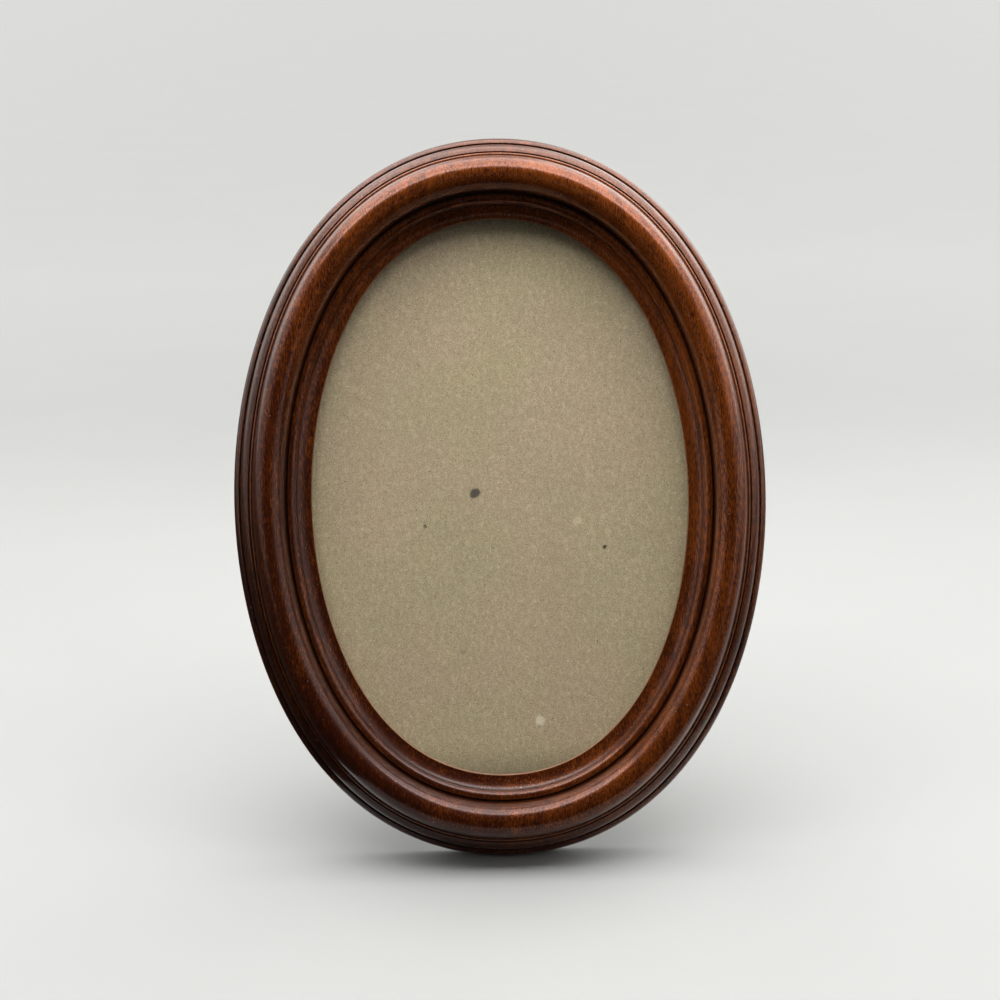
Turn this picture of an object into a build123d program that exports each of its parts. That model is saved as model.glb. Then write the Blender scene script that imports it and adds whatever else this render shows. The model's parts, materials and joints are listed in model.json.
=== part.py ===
from build123d import *
from math import cos, radians, sin, tan
import os

# An oval wooden table frame that leans back on a hinged easel leg.
# Millimetres, +Z up, front towards -Y. The origin is the middle of the small
# flat planed on the bottom of the rim, at the height of the table.

os.makedirs("parts", exist_ok=True)

# The oval and its stance
sight_width = 112.4
sight_height = 166.0
lean = 16.0
planed_depth = 0.8
overrun = 1.0

# Glazing stack in the rabbet, from the front
glass_thickness = 2.0
sheet_thickness = 1.5
board_thickness = 3.5
lip_width = 5.0
glazing_play = 0.4
board_edge_radius = 0.6

# Moulding, widths counted outwards from the sight edge, heights from the back
rim_thickness = 22.0
lip_thickness = 2.5
slope_width = 4.1
slope_rise = 1.4
astragal_radius = 2.3
land_width = 0.4
quirk_width = 0.6
quirk_depth = 1.2
torus_radius = 5.0
flank_angle = 75.0
fillet_height = 15.4
fillet_width = 0.7
groove_width = 1.2
groove_depth = 0.6
bead_height = 12.6
bead_radius = 2.2
edge_groove_width = 0.7
edge_groove_depth = 0.6
edge_height = 7.9
edge_radius = 1.7

# Fits
running_play = 0.05
staked_play = 0.02

# Turn buttons and their screws
button_angle = 48.0
button_setback = 7.0
button_radius = 4.0
button_tip_radius = 2.6
button_reach = 12.5
button_thickness = 1.0
button_lift = 0.1
button_bend = 3.2
button_bend_rise = 1.4
screw_radius = 1.5
screw_bite = 10.0
screw_point = 2.0
screw_head_radius = 3.0
screw_head_height = 1.5
screw_slot_width = 0.7
screw_slot_depth = 0.8

# Rivets
rivet_radius = 1.2
rivet_head_radius = 2.4
rivet_head_height = 0.7
rivet_head_round = 0.55

# Stop hinge of the leg, its pin below the top of the easel board
pivot_inset = 45.1
pin_radius = 1.0
pin_stub = 0.5
pin_round = 0.3
leaf_thickness = 0.8
leaf_width = 26.0
leaf_length = 14.0
leaf_corner = 3.0
knuckle_width = 9.6
knuckle_gap = 0.2
barrel_lift = 0.2
heel_length = 8.0
stop_play = 0.05
leaf_rivet_spacing = 16.0
leaf_rivet_reach = 9.0

# Easel leg
leg_swing = 26.0
leg_thickness = 3.0
leg_top_width = 30.0
leg_foot_width = 40.0
leg_top_gap = 0.6
leg_top_corner = 6.0
leg_foot_corner = 4.0
leg_edge_radius = 0.5

# Hanger, the ring's bar below the top of the easel board
hanger_inset = 13.6
wire_radius = 0.8
ring_width = 12.4
ring_height = 12.0
ring_corner = 2.0
strap_thickness = 0.8
strap_width = 7.0
strap_rivet_drop = 5.8
strap_drop = 9.4
strap_round = 2.5

# Worked-out sizes of the moulding
rabbet_depth = glass_thickness + sheet_thickness + board_thickness
sight_front = rabbet_depth + lip_thickness
slope_top = sight_front + slope_rise
astragal_foot = slope_width
land_foot = astragal_foot + astragal_radius
quirk_foot = land_foot + land_width
torus_foot = quirk_foot + quirk_width
land_top = slope_top + astragal_radius
torus_centre = torus_foot + torus_radius
torus_axis_height = rim_thickness - torus_radius
flank_top = torus_axis_height + torus_radius * cos(radians(flank_angle))
flank_run = (flank_top - fillet_height) / tan(radians(flank_angle))
fillet_foot = torus_centre + torus_radius * sin(radians(flank_angle)) + flank_run
groove_foot = fillet_foot + fillet_width
bead_foot = groove_foot + groove_width
edge_groove_foot = bead_foot + bead_radius
edge_foot = edge_groove_foot + edge_groove_width
moulding_width = edge_foot + edge_radius

# Half width and half height of the pieces in the rabbet
glazing_x = sight_width / 2 + lip_width - glazing_play
glazing_y = sight_height / 2 + lip_width - glazing_play

# Planes of the leaning frame
half_height = sight_height / 2 + moulding_width
lean_sin = sin(radians(lean))
lean_cos = cos(radians(lean))
up_face = Vector(0, lean_sin, lean_cos)
to_rear = Vector(0, lean_cos, -lean_sin)
flat_shift = planed_depth * (lean_cos / lean_sin - lean_sin / lean_cos) / 2
oval_centre = Vector(0, half_height * lean_sin + flat_shift, half_height * lean_cos - planed_depth)
face_plane = Plane(oval_centre, x_dir=(1, 0, 0), z_dir=-to_rear)
rear_plane = Plane(oval_centre, x_dir=(-1, 0, 0), z_dir=to_rear)
to_front = Axis(oval_centre, -to_rear)
backwards = Axis(oval_centre, to_rear)

# Pin of the leg's hinge, and the planes of the board and the open leg beside it
barrel_radius = pin_radius + running_play + leaf_thickness
pin_height = barrel_radius + barrel_lift
pin_rise = glazing_y - pivot_inset
pin_point = oval_centre + up_face * pin_rise + to_rear * pin_height
leg_tilt = radians(leg_swing - lean)
leg_rear = Vector(0, cos(leg_tilt), sin(leg_tilt))
leg_up = Vector(0, -sin(leg_tilt), cos(leg_tilt))
board_side = Plane(pin_point, x_dir=up_face, z_dir=(-1, 0, 0))
leg_side = Plane(pin_point, x_dir=leg_up, z_dir=(-1, 0, 0))
leg_plane = Plane(pin_point, x_dir=(-1, 0, 0), z_dir=leg_rear)
leg_front_face = leaf_thickness - barrel_radius
leg_rear_face = leg_front_face + leg_thickness
leg_top = barrel_radius + leg_top_gap
leg_reach = (pin_point.Z + leg_rear_face * sin(leg_tilt)) / cos(leg_tilt)


def land_place(across, upwards):
    """Where a turn button's screw stands on the rim's back land, and which way is inwards."""
    angle = radians(button_angle)
    edge = Vector(across * sight_width / 2 * cos(angle), upwards * sight_height / 2 * sin(angle))
    outwards = Vector(
        across * cos(angle) / (sight_width / 2), upwards * sin(angle) / (sight_height / 2)
    ).normalized()
    place = edge + outwards * (lip_width + button_setback)
    return place, outwards * -1


# Corners as seen from the front: left is -X
button_corners = {
    "upper_left": land_place(-1, 1),
    "upper_right": land_place(1, 1),
    "lower_left": land_place(-1, -1),
    "lower_right": land_place(1, -1),
}
screw_planes = {}
for corner, (place, inwards) in button_corners.items():
    origin = face_plane.from_local_coords(place)
    inward_point = face_plane.from_local_coords(place + inwards)
    screw_planes[corner] = Plane(origin, x_dir=inward_point - origin, z_dir=to_rear)

# Rim: one moulding run round the sight oval, planed flat where it stands
with BuildPart() as rim:
    with BuildLine(face_plane) as sight_oval:
        EllipticalCenterArc((0, 0), sight_width / 2, sight_height / 2, arc_size=360)
    section_plane = Plane(sight_oval.line @ 0, x_dir=(1, 0, 0), z_dir=-up_face)
    with BuildSketch(section_plane) as moulding:
        with BuildLine():
            lip = Polyline(
                (lip_width, 0),
                (lip_width, rabbet_depth),
                (0, rabbet_depth),
                (0, sight_front),
                (astragal_foot, slope_top),
            )
            astragal = JernArc(lip @ 1, (0, 1), astragal_radius, -90)
            quirk = Polyline(
                astragal @ 1,
                (quirk_foot, land_top),
                (quirk_foot, land_top - quirk_depth),
                (torus_foot, land_top - quirk_depth),
                (torus_foot, torus_axis_height),
            )
            torus = JernArc(quirk @ 1, (0, 1), torus_radius, -90 - flank_angle)
            groove = Polyline(
                torus @ 1,
                (fillet_foot, fillet_height),
                (groove_foot, fillet_height),
                (groove_foot, bead_height - groove_depth),
                (bead_foot, bead_height - groove_depth),
                (bead_foot, bead_height),
            )
            bead = JernArc(groove @ 1, (1, 0), bead_radius, -90)
            edge_groove = Polyline(
                bead @ 1,
                (edge_groove_foot, edge_height - edge_groove_depth),
                (edge_foot, edge_height - edge_groove_depth),
                (edge_foot, edge_height),
            )
            edge_bead = JernArc(edge_groove @ 1, (1, 0), edge_radius, -90)
            Polyline(edge_bead @ 1, (moulding_width, 0), (lip_width, 0))
        make_face()
    sweep(path=sight_oval.line)
    split(bisect_by=Plane.XY, keep=Keep.TOP)
    for screw_plane in screw_planes.values():
        with BuildSketch(screw_plane):
            Circle(screw_radius + staked_play)
        extrude(amount=-screw_bite, mode=Mode.SUBTRACT)
rim.part.label = "rim"
export_step(rim.part, "parts/rim.step")

# Oval pieces that drop into the rabbet from behind
with BuildPart() as glass:
    with BuildSketch(face_plane.offset(board_thickness + sheet_thickness)):
        Ellipse(glazing_x, glazing_y)
    extrude(amount=glass_thickness)
glass.part.label = "glass"
export_step(glass.part, "parts/glass.step")

with BuildPart() as backing_sheet:
    with BuildSketch(face_plane.offset(board_thickness)):
        Ellipse(glazing_x, glazing_y)
    extrude(amount=sheet_thickness)
backing_sheet.part.label = "backing_sheet"
export_step(backing_sheet.part, "parts/backing_sheet.step")

# Easel board: closes the rabbet flush with the rim and carries hinge and hanger
leaf_rivets = [
    (-leaf_rivet_spacing / 2, pin_rise + leaf_rivet_reach),
    (leaf_rivet_spacing / 2, pin_rise + leaf_rivet_reach),
]
bar_rise = glazing_y - hanger_inset
strap_rivets = [(0, bar_rise - strap_rivet_drop)]

with BuildPart() as easel_board:
    with BuildSketch(face_plane):
        Ellipse(glazing_x, glazing_y)
    extrude(amount=board_thickness)
    fillet(easel_board.faces().sort_by(to_front)[0].edges(), board_edge_radius)
    with BuildSketch(rear_plane):
        with Locations(*leaf_rivets, *strap_rivets):
            Circle(rivet_radius + staked_play)
    extrude(amount=-board_thickness, mode=Mode.SUBTRACT)
easel_board.part.label = "easel_board"
export_step(easel_board.part, "parts/easel_board.step")


def rivets(head_plane, places, shank_length):
    """Domed rivets whose heads sit on head_plane."""
    with BuildPart() as group:
        with BuildSketch(head_plane):
            with Locations(*places):
                Circle(rivet_head_radius)
        extrude(amount=rivet_head_height)
        domes = group.faces().group_by(Axis(head_plane.origin, head_plane.z_dir))[-1]
        fillet(domes.edges(), rivet_head_round)
        with BuildSketch(head_plane):
            with Locations(*places):
                Circle(rivet_radius)
        extrude(amount=-shank_length)
    return group


# Hinge leaf on the board: a plate with two knuckles at its lower edge
with BuildPart() as hinge_board_leaf:
    with BuildSketch(rear_plane):
        with Locations((0, pin_rise)):
            Rectangle(leaf_width, leaf_length, align=(Align.CENTER, Align.MIN))
    extrude(amount=leaf_thickness)
    plate_corners = hinge_board_leaf.edges().filter_by(backwards).group_by(Axis.Z)[-1]
    fillet(plate_corners, leaf_corner)
    with BuildSketch(board_side):
        Circle(barrel_radius)
    extrude(amount=leaf_width / 2, both=True)
    with BuildSketch(board_side):
        Rectangle(2 * (barrel_radius + knuckle_gap), 2 * (barrel_radius + overrun))
    extrude(amount=knuckle_width / 2 + knuckle_gap, both=True, mode=Mode.SUBTRACT)
    with BuildSketch(board_side):
        Circle(pin_radius + staked_play)
    extrude(amount=leaf_width / 2 + overrun, both=True, mode=Mode.SUBTRACT)
    with BuildSketch(rear_plane):
        with Locations(*leaf_rivets):
            Circle(rivet_radius + staked_play)
    extrude(amount=leaf_thickness, mode=Mode.SUBTRACT)
hinge_board_leaf.part.label = "hinge_board_leaf"
export_step(hinge_board_leaf.part, "parts/hinge_board_leaf.step")

board_rivets = rivets(rear_plane.offset(leaf_thickness), leaf_rivets, leaf_thickness + board_thickness)
board_rivets.part.label = "board_rivets"
export_step(board_rivets.part, "parts/board_rivets.step")

with BuildPart() as hinge_pin:
    with BuildSketch(board_side):
        Circle(pin_radius)
    extrude(amount=leaf_width / 2 + pin_stub, both=True)
    pin_ends = hinge_pin.faces().sort_by(Axis.X)
    fillet(pin_ends[0].edges() + pin_ends[-1].edges(), pin_round)
hinge_pin.part.label = "hinge_pin"
export_step(hinge_pin.part, "parts/hinge_pin.step")

# Hinge leaf on the leg: one knuckle, and a heel that stops flat on the other leaf
plate_top = barrel_radius + knuckle_gap
heel_face = leaf_thickness + stop_play - pin_height
leg_rivet_places = [
    (-leaf_rivet_spacing / 2, -leaf_rivet_reach),
    (leaf_rivet_spacing / 2, -leaf_rivet_reach),
]

with BuildPart() as hinge_leg_leaf:
    with BuildSketch(leg_plane.offset(-barrel_radius)):
        with Locations((0, -plate_top)):
            Rectangle(leaf_width, leaf_length - plate_top, align=(Align.CENTER, Align.MAX))
    extrude(amount=leaf_thickness)
    plate_corners = hinge_leg_leaf.edges().filter_by(Axis((0, 0, 0), leg_rear)).group_by(Axis.Z)[0]
    fillet(plate_corners, leaf_corner)
    with BuildSketch(leg_side):
        Circle(barrel_radius)
        with Locations((0, -barrel_radius)):
            Rectangle(plate_top + overrun, leaf_thickness, align=(Align.MAX, Align.MIN))
    extrude(amount=knuckle_width / 2, both=True)
    with BuildSketch(board_side):
        with Locations((0, heel_face)):
            Rectangle(heel_length, leaf_thickness, align=(Align.MIN, Align.MIN))
    extrude(amount=knuckle_width / 2, both=True)
    with BuildSketch(board_side):
        Circle(pin_radius + running_play)
    extrude(amount=knuckle_width / 2 + overrun, both=True, mode=Mode.SUBTRACT)
    with BuildSketch(leg_plane.offset(-barrel_radius)):
        with Locations(*leg_rivet_places):
            Circle(rivet_radius + staked_play)
    extrude(amount=leaf_thickness, mode=Mode.SUBTRACT)
hinge_leg_leaf.part.label = "hinge_leg_leaf"
export_step(hinge_leg_leaf.part, "parts/hinge_leg_leaf.step")

# Easel leg: tapered board, its foot bevelled level with the table
with BuildPart() as easel_leg:
    with BuildSketch(leg_plane.offset(leg_front_face)) as leg_outline:
        with BuildLine():
            Polyline(
                (-leg_top_width / 2, -leg_top),
                (leg_top_width / 2, -leg_top),
                (leg_foot_width / 2, -leg_reach),
                (-leg_foot_width / 2, -leg_reach),
                close=True,
            )
        make_face()
        fillet(leg_outline.vertices().group_by(Axis.Y)[-1], leg_top_corner)
        fillet(leg_outline.vertices().group_by(Axis.Y)[0], leg_foot_corner)
    extrude(amount=leg_thickness)
    fillet(easel_leg.faces().sort_by(Axis((0, 0, 0), leg_rear))[-1].edges(), leg_edge_radius)
    split(bisect_by=Plane.XY, keep=Keep.TOP)
    with BuildSketch(leg_plane.offset(leg_rear_face)):
        with Locations(*leg_rivet_places):
            Circle(rivet_radius + staked_play)
    extrude(amount=-leg_thickness, mode=Mode.SUBTRACT)
easel_leg.part.label = "easel_leg"
export_step(easel_leg.part, "parts/easel_leg.step")

leg_rivets = rivets(leg_plane.offset(leg_rear_face), leg_rivet_places, leg_thickness + leaf_thickness)
leg_rivets.part.label = "leg_rivets"
export_step(leg_rivets.part, "parts/leg_rivets.step")


def turn_button(place):
    """A flat strip that turns about its screw, its finger end bent away from the board."""
    bend_foot = button_reach - button_bend
    with BuildPart() as button:
        with BuildSketch(place.offset(button_lift)):
            Circle(button_radius)
            with Locations((button_reach - button_tip_radius, 0)):
                Circle(button_tip_radius)
            make_hull()
            Circle(screw_radius + running_play, mode=Mode.SUBTRACT)
        extrude(amount=button_thickness + button_bend_rise)
        side = Plane(place.offset(button_lift).origin, x_dir=place.x_dir, z_dir=-place.y_dir)
        with BuildSketch(side):
            with BuildLine():
                Polyline(
                    (-button_radius - overrun, 0),
                    (bend_foot, 0),
                    (button_reach, button_bend_rise),
                    (button_reach, button_bend_rise + button_thickness),
                    (bend_foot, button_thickness),
                    (-button_radius - overrun, button_thickness),
                    close=True,
                )
            make_face()
        extrude(amount=button_radius + overrun, both=True, mode=Mode.INTERSECT)
    return button


for corner, screw_plane in screw_planes.items():
    button = turn_button(screw_plane)
    button.part.label = f"turn_button_{corner}"
    export_step(button.part, f"parts/turn_button_{corner}.step")

# Slotted screws of the turn buttons
head_seat = button_lift + button_thickness + running_play

with BuildPart() as button_screws:
    for screw_plane in screw_planes.values():
        with BuildSketch(screw_plane.offset(head_seat)) as screw_head:
            Circle(screw_head_radius)
        extrude(amount=screw_head_height)
    head_tops = button_screws.faces().group_by(backwards)[-1]
    fillet(head_tops.edges(), screw_head_height / 2)
    for screw_plane in screw_planes.values():
        with BuildSketch(screw_plane.offset(head_seat)):
            Circle(screw_radius)
        extrude(amount=-head_seat - screw_bite + screw_point)
        with BuildSketch(screw_plane.offset(head_seat + screw_head_height - screw_slot_depth)):
            Rectangle(2 * screw_head_radius, screw_slot_width)
        extrude(amount=screw_slot_depth, mode=Mode.SUBTRACT)
button_screws.part.label = "button_screws"
export_step(button_screws.part, "parts/button_screws.step")

# Hanger: a strap looped round the bar of a D ring that hangs straight down
bar_height = wire_radius + running_play + strap_thickness
bar_point = oval_centre + up_face * bar_rise + to_rear * bar_height
strap_side = Plane(bar_point, x_dir=up_face, z_dir=(-1, 0, 0))

with BuildPart() as hanger_strap:
    with BuildSketch(rear_plane):
        with Locations((0, bar_rise)):
            Rectangle(strap_width, strap_drop, align=(Align.CENTER, Align.MAX))
    extrude(amount=strap_thickness)
    strap_end = hanger_strap.edges().filter_by(backwards).group_by(Axis.Z)[0]
    fillet(strap_end, strap_round)
    with BuildSketch(strap_side):
        Circle(bar_height)
    extrude(amount=strap_width / 2, both=True)
    with BuildSketch(strap_side):
        Circle(wire_radius + running_play)
    extrude(amount=strap_width / 2 + overrun, both=True, mode=Mode.SUBTRACT)
    with BuildSketch(rear_plane):
        with Locations(*strap_rivets):
            Circle(rivet_radius + staked_play)
    extrude(amount=strap_thickness, mode=Mode.SUBTRACT)
hanger_strap.part.label = "hanger_strap"
export_step(hanger_strap.part, "parts/hanger_strap.step")

hanger_rivet = rivets(rear_plane.offset(strap_thickness), strap_rivets, strap_thickness + board_thickness)
hanger_rivet.part.label = "hanger_rivet"
export_step(hanger_rivet.part, "parts/hanger_rivet.step")

ring_plane = Plane(bar_point, x_dir=(-1, 0, 0), z_dir=(0, 1, 0))
with BuildPart() as hanger_ring:
    with BuildLine(ring_plane) as half_ring:
        side_end = (ring_width / 2, ring_width / 2 - ring_height)
        FilletPolyline((0, 0), (ring_width / 2, 0), side_end, radius=ring_corner)
        JernArc(side_end, (0, -1), ring_width / 2, -90)
    with BuildSketch(Plane(bar_point, x_dir=(0, 1, 0), z_dir=(-1, 0, 0))):
        Circle(wire_radius)
    sweep(path=half_ring.wires()[0])
    mirror(about=Plane.YZ)
hanger_ring.part.label = "hanger_ring"
export_step(hanger_ring.part, "parts/hanger_ring.step")

print("overall", round(sight_width + 2 * moulding_width, 2), "x", round(2 * half_height, 2))
print("moulding width", round(moulding_width, 2), "leg pin", pin_point, "ring bar", bar_point)
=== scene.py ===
import json
from contextlib import contextmanager
from math import atan2, cos, hypot, pi, radians, sin, tan

import bpy
import numpy as np
from bpy.props import FloatProperty, FloatVectorProperty, IntProperty, PointerProperty
from bpy.types import Operator, Panel, PropertyGroup
from mathutils import Matrix, Vector


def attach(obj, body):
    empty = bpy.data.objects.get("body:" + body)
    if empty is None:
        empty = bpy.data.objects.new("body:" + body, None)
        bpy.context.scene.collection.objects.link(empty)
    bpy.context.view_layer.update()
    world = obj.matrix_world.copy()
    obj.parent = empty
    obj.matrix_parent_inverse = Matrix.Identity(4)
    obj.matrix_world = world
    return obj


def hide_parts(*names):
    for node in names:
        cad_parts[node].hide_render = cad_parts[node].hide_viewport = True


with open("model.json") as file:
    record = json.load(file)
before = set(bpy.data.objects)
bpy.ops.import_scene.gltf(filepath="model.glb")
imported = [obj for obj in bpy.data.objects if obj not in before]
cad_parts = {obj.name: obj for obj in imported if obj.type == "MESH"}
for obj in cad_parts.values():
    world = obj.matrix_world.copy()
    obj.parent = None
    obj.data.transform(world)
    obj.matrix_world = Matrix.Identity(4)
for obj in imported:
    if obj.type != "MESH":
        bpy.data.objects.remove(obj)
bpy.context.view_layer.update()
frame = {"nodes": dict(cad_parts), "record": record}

bl_info = {
    "name": "Oval Table Frame",
    "version": (1, 0, 0),
    "blender": (4, 5, 0),
    "location": "3D View > Sidebar > Oval Frame",
    "description": "Dresses an oval table frame: moulded rim, glazing, easel back and hardware",
    "category": "Add Mesh",
}

MM = 0.001
SAME_POINT = 0.002 * MM


def length(name, default, description):
    """A size in metres, given here in millimetres."""
    return FloatProperty(
        name=name, description=description, default=default * MM, min=0, unit="LENGTH", precision=5
    )


def angle(name, degrees, description):
    """An angle in radians, given here in degrees."""
    return FloatProperty(name=name, description=description, default=radians(degrees), unit="ROTATION")


def colour(name, default, description):
    """A colour as linear light."""
    return FloatVectorProperty(
        name=name, description=description, default=default, size=3, min=0, max=1, subtype="COLOR"
    )


def share(name, default, description, highest=1.0):
    """A share or a strength."""
    return FloatProperty(name=name, description=description, default=default, min=0, max=highest)


class MouldingSizes(PropertyGroup):
    """Sizes of the moulding, widths counted outwards from the sight edge and heights from the back."""

    sight_width: length("Sight width", 112.4, "Width of the oval that shows the picture")
    sight_height: length("Sight height", 166.0, "Height of the oval that shows the picture")
    lean: angle("Lean", 16, "How far the frame leans back")
    planed_depth: length("Planed depth", 0.8, "Depth of the flat on which the rim stands")
    rabbet_width: length("Rabbet width", 5.0, "Width of the lip behind which the glass lies")
    rabbet_depth: length("Rabbet depth", 7.0, "Depth that holds the glass, sheet and board")
    lip_thickness: length("Lip thickness", 2.5, "Thickness of the lip at the sight edge")
    slope_width: length("Slope width", 4.1, "Width of the slope next to the sight edge")
    slope_rise: length("Slope rise", 1.4, "Height that the slope gains")
    slope_start: angle("Slope start", 4, "Steepness of the hollow slope at the sight edge")
    astragal_radius: length("Astragal radius", 2.3, "Radius of the small inner round")
    land_width: length("Land width", 0.4, "Flat between the inner round and the quirk")
    quirk_width: length("Quirk width", 0.6, "Width of the narrow groove under the large round")
    quirk_depth: length("Quirk depth", 1.2, "Depth of that groove")
    torus_radius: length("Large round radius", 5.0, "Radius of the large round")
    rim_thickness: length("Rim thickness", 22.0, "Height of the large round's crest")
    flank_angle: angle("Flank angle", 75, "Where the large round runs out")
    fillet_height: length("Fillet height", 15.4, "Height of the thin step below the large round")
    fillet_width: length("Fillet width", 0.7, "Width of that step")
    groove_width: length("Groove width", 0.8, "Width of the groove outside the step")
    groove_depth: length("Groove depth", 0.42, "Depth of that groove")
    bead_height: length("Bead height", 12.6, "Height of the first outer bead")
    bead_width: length("Bead width", 2.6, "Width of the first outer bead")
    bead_start: angle("Bead start", 24, "Steepness where a bead begins")
    bead_end: angle("Bead end", 80, "Steepness where a bead ends")
    edge_groove_width: length("Edge groove width", 0.7, "Width of the groove before the edge bead")
    edge_groove_depth: length("Edge groove depth", 0.42, "Depth of that groove")
    edge_height: length("Edge bead height", 7.9, "Height of the edge bead")
    edge_width: length("Edge bead width", 1.7, "Width of the edge bead")
    side_loss: length("Side loss", 0.95, "How much nearer the outer lines lie at the sides")
    crisp_arris: length("Crisp arris", 0.14, "How much the fine arrises are sanded round")
    soft_arris: length("Soft arris", 0.42, "How much the thin step is sanded round")
    air_gap: length("Air gap", 0.06, "Gap between the glass and the sheet behind it")
    back_arris: length("Back arris", 0.6, "How much the back edge is sanded round")
    brass_arris: length("Brass arris", 0.06, "How much the edges of the brass pieces are broken")
    leg_arris: length("Leg arris", 0.15, "How much the edges of the leg are rounded")
    rings: IntProperty(name="Rings", description="Sections per quarter of the oval", default=64, min=8)


class FinishColours(PropertyGroup):
    """Colours of the finishes, as linear light."""

    stain_dark: colour("Dark stain", (0.026, 0.0040, 0.0007), "Stain in the dark grain")
    # This colour also carries the painted light on the right and the top of the rim.
    pale_stain_and_painted_light: colour("Light stain and painted light", (0.205, 0.047, 0.0048), "Stain where fibres catch the light, also used for painted light")
    # Also used as painted shade: the grooves, corners and outer steps of the rim are darkened with it.
    dark_stain_and_painted_shade: colour("Groove stain and painted shade", (0.007, 0.004, 0.003), "Stain gathered in the grooves, and painted shade on the outer steps")
    bare_wood: colour("Bare wood", (0.21, 0.115, 0.065), "Wood on the cut wall of the lip")
    board_olive: colour("Board olive", (0.485, 0.385, 0.240), "Main colour of the chipboard")
    board_pink: colour("Board pink", (0.51, 0.378, 0.262), "Warmer patches of the chipboard")
    velour: colour("Velour", (0.010, 0.0095, 0.010), "Nap on the easel board and leg")
    brass: colour("Brass", (0.74, 0.53, 0.24), "Plated hardware")
    tarnish: colour("Tarnish", (0.30, 0.19, 0.085), "Dulled patches of the hardware")
    steel: colour("Steel", (0.55, 0.54, 0.52), "Hinge pin")
    steel_dull: colour("Dull steel", (0.30, 0.29, 0.28), "Dulled patches of the pin")
    dust: colour("Dust", (0.5, 0.42, 0.36), "Specks of dust on the wood")
    glass: colour("Glass", (0.985, 0.992, 0.985), "What the glass lets through")
    board_shade: colour("Board shade", (0.34, 0.285, 0.18), "Darker clouds of the chipboard")
    board_fibre: colour("Board fibre", (0.25, 0.205, 0.13), "Dark fibres of the chipboard")
    board_flake: colour("Board flake", (0.70, 0.58, 0.39), "Pale flakes of the chipboard")
    board_dark: colour("Dark specks", (0.13, 0.105, 0.065), "Dark specks of the chipboard")
    board_pale: colour("Pale specks", (0.80, 0.68, 0.48), "Pale specks of the chipboard")
    board_bark: colour("Bark", (0.08, 0.065, 0.05), "Sparse bits of bark in the chipboard")
    # Used to make the sheet darker along its lower edge.
    board_foot: colour("Board foot", (0.13, 0.105, 0.07), "Darker tone along the lower edge of the sheet")
    velour_brushed: colour("Brushed velour", (0.034, 0.032, 0.033), "Where the nap is brushed")
    velour_tips: colour("Velour tips", (0.055, 0.053, 0.054), "Tips of the nap")
    velour_sheen: colour("Velour sheen", (0.42, 0.40, 0.42), "Light that the nap scatters")
    lint: colour("Lint", (0.30, 0.29, 0.29), "Lint on the velour")
    floor: colour("Floor", (0.262, 0.2632, 0.2559), "Paper floor under the frame")
    floor_cloud: colour("Floor clouds", (0.37, 0.37, 0.36), "Faint clouds in the paper")
    card_black: colour("Black card", (0.01, 0.01, 0.01), "Cards in front and on the left")
    card_grey: colour("Grey card", (0.15, 0.15, 0.15), "Card on the right")
    sky: colour("Sky", (1.0, 1.0, 0.985), "Tint of the light from the walls")


class StudioSettings(PropertyGroup):
    """Camera and lights."""

    camera_reach: length("Camera reach", 600, "Distance from the back of the frame, square to its face")
    focal: FloatProperty(name="Lens", description="Focal length on a sensor 36 mm wide", default=71.3)
    roll: angle("Roll", -1.2, "How far the camera is turned")
    rise: FloatProperty(name="Rise", description="Upward shift of the view", default=-0.0032)
    window: share("Window", 6.1, "Light of the large window overhead", 20)
    window_front: share("Window front", 0.5, "How much brighter its front edge is", 5)
    window_height: length("Window height", 600, "Height of that window over the floor")
    back_wall: share("Back wall", 2.7, "Light that comes from behind the frame", 5)
    side_walls: share("Side walls", 1.2, "Light that comes from the sides", 5)
    front: share("Front", 0.03, "Light from the dark side round the camera", 5)
    far_glow: share("Far glow", 0.44, "Light that the far floor adds where the window's light ends")
    far_tone: share("Far tone", 0.69, "Tone in which the far floor ends")
    floor_size: length("Floor size", 200000, "Side of the paper floor")
    card_left: length("Left card", 70, "Where the left card begins, from the middle")
    card_right: length("Right card", 120, "Where the right card begins, from the middle")
    card_front: length("Front card", 50, "Where the front card begins, from the frame's foot")
    card_reach: length("Card reach", 3000, "How far the cards reach")
    card_lift: length("Card lift", 0.5, "Height of the cards over the floor")


# Shader maths


class Socket:
    """An output of a shader node that can be used in sums."""

    def __init__(self, surface, socket):
        self.surface, self.socket = surface, socket

    def math(self, operation, *values, clamp=False):
        """A sum of numbers and sockets."""
        settings = {"operation": operation, "use_clamp": clamp}
        return self.surface.node("ShaderNodeMath", settings, dict(enumerate(values)))

    def __add__(self, other):
        return self.math("ADD", self, other)

    def __sub__(self, other):
        return self.math("SUBTRACT", self, other)

    def __rsub__(self, other):
        return self.math("SUBTRACT", other, self)

    def __mul__(self, other):
        return self.math("MULTIPLY", self, other)

    def __truediv__(self, other):
        return self.math("DIVIDE", self, other)

    def __pow__(self, other):
        return self.math("POWER", self, other)

    __radd__ = __add__
    __rmul__ = __mul__

    def clamped(self):
        """The same value, held between 0 and 1."""
        return self.math("ADD", self, 0.0, clamp=True)


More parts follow.
